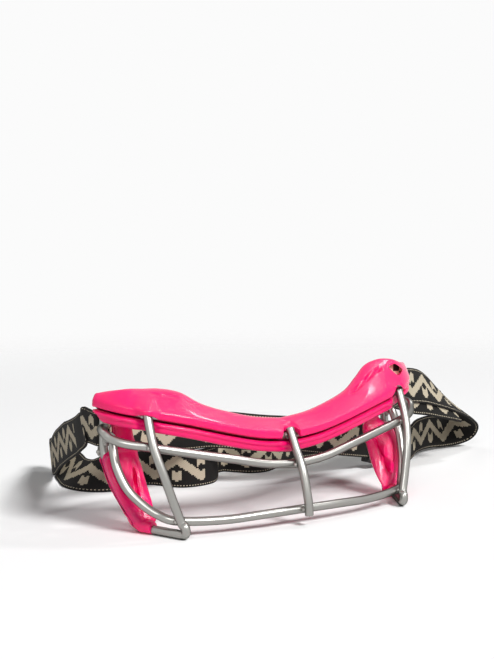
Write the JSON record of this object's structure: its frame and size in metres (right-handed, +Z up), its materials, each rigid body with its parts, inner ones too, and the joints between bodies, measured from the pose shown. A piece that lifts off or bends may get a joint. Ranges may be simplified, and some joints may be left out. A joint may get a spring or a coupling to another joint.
{
  "type": "lacrosse face guard",
  "caption": "Wire eye cage with crossing bars, soft brow and cheek pads, and an elastic head strap with a sliding adjuster.",
  "frame": {"origin": "middle of the bounding box's base, on the surface the guard stands on", "axes": "+X to the right of the guard as its wearer's front is looked at, -Y out of its front, +Z up"},
  "size_m": [0.2766, 0.1709, 0.0656],
  "materials": {
    "wire": "satin",
    "silicone": "glossy",
    "webbing": "woven",
    "thread": "twisted",
    "plastic": "moulded"
  },
  "bodies": {
    "root": {"rim_wire": "wire", "side_bar_left": "wire", "side_bar_right": "wire", "centre_bar": "wire", "upper_bar": "wire", "lower_bar": "wire", "strap_bar_left": "wire", "strap_bar_right": "wire", "brow_pad": "silicone", "cheek_pad_left": "silicone", "cheek_pad_right": "silicone", "welds_rim": "wire", "welds_side_upper": "wire", "welds_side_lower": "wire", "welds_centre": "wire", "welds_post": "wire", "welds_tip": "wire", "welds_strap_bar": "wire", "strap_band": "webbing", "strap_tail": "webbing", "end_stitching": "thread", "hem_stitching": "thread"},
    "strap_left": {"strap_loop_left": "webbing"},
    "strap_right": {"strap_loop_right": "webbing"},
    "slider": {"slider": "plastic"}
  },
  "joints": [
    {"name": "strap_left_swing", "type": "hinge", "parent": "root", "child": "strap_left", "pos_m": [-0.12696, -0.02609, 0.0449], "axis": [0, 0, 1], "range_deg": [-12, 12]},
    {"name": "strap_right_swing", "type": "hinge", "parent": "root", "child": "strap_right", "pos_m": [0.02504, -0.02609, 0.0449], "axis": [0, 0, 1], "range_deg": [-12, 12]},
    {"name": "slider_slide", "type": "slide", "parent": "root", "child": "slider", "axis": [0.9716, 0.1487, -0.184], "range_m": [-0.02, 0.008]}
  ]
}
